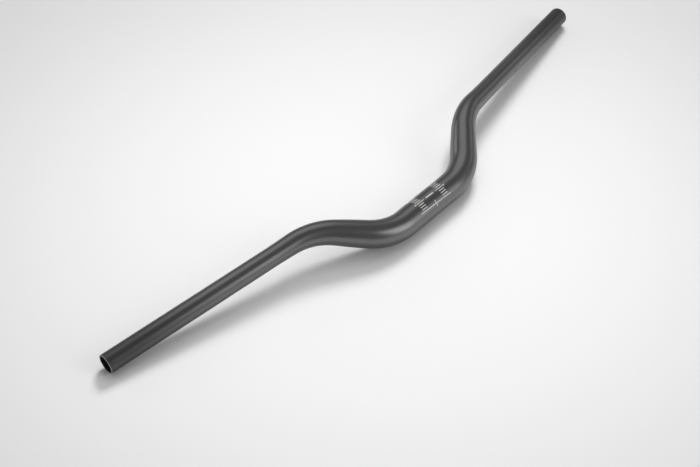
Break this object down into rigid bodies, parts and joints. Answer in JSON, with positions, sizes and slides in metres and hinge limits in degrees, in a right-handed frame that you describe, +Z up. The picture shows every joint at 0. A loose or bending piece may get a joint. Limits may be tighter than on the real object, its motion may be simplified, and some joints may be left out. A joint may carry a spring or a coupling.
{
  "type": "bicycle handlebar",
  "caption": "Mountain-bike riser handlebar: a bent, tapered aluminium tube in matt black, with a thick clamp stretch, rising shoulders, swept grips and open ends.",
  "frame": {"origin": "middle of the stem clamp, on its axis", "axes": "+X along the clamp axis towards the right cut end, +Y from the clamp towards the cut ends, +Z up, with the bar lying on its clamp and both cut ends; the table is 15.9 mm below the origin"},
  "size_m": [0.804, 0.1268, 0.0473],
  "materials": {
    "bar": "matt black anodised, rougher at the grips, white marks printed on the clamp"
  },
  "bodies": {
    "root": {"handlebar": "bar"}
  },
  "joints": []
}
